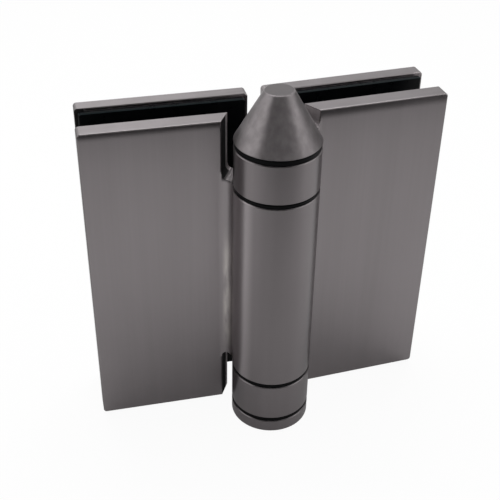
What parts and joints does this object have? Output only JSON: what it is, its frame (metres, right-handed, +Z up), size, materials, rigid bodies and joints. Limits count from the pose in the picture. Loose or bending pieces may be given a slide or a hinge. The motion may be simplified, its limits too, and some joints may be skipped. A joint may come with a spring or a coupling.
{
  "type": "glass gate hinge",
  "caption": "Glass-to-glass gate hinge: two clamp leaves with rubber-lined slots turn on a sprung barrel of three knuckles with black rings and a conical cap.",
  "frame": {"origin": "on the pin line at the foot of the barrel", "axes": "+Z up the pin line towards the conical cap, +X out along the post leaf, +Y from the barrel towards the back plates"},
  "size_m": [0.1396, 0.0557, 0.1483],
  "materials": {
    "satin_metal": "satin dark nickel, fine vertical brushing",
    "gasket_rubber": "matte black",
    "ring_plastic": "black acetal",
    "spring_steel": "oiled spring steel",
    "screw_steel": "plain stainless",
    "glass_bush_plastic": "natural nylon"
  },
  "bodies": {
    "post_leaf": {"post_front_plate": "satin_metal", "post_back_plate": "satin_metal", "post_front_gasket": "gasket_rubber", "post_back_gasket": "gasket_rubber", "post_clamp_screws": "screw_steel", "post_glass_bushes": "glass_bush_plastic", "lower_pivot": "screw_steel", "tension_spindle": "screw_steel", "pivot_grub_screw": "screw_steel", "tension_grub_screw": "screw_steel", "cap_ring": "ring_plastic", "cone_cap": "satin_metal", "foot_ring": "ring_plastic", "foot_cap": "satin_metal", "foot_screw": "screw_steel"},
    "gate_leaf": {"gate_front_plate": "satin_metal", "gate_back_plate": "satin_metal", "gate_front_gasket": "gasket_rubber", "gate_back_gasket": "gasket_rubber", "gate_clamp_screws": "screw_steel", "gate_glass_bushes": "glass_bush_plastic", "lower_bush": "ring_plastic", "upper_bush": "ring_plastic", "spring_anchor": "screw_steel", "torsion_spring": "spring_steel", "anchor_grub_screw": "screw_steel"}
  },
  "joints": [
    {"name": "gate_swing", "type": "hinge", "parent": "post_leaf", "child": "gate_leaf", "pos_m": [0, 0, 0], "axis": [0, 0, 1], "range_deg": [-9, 114], "stiffness_Nm_per_rad": 2.5, "deforming": ["torsion_spring"]}
  ]
}
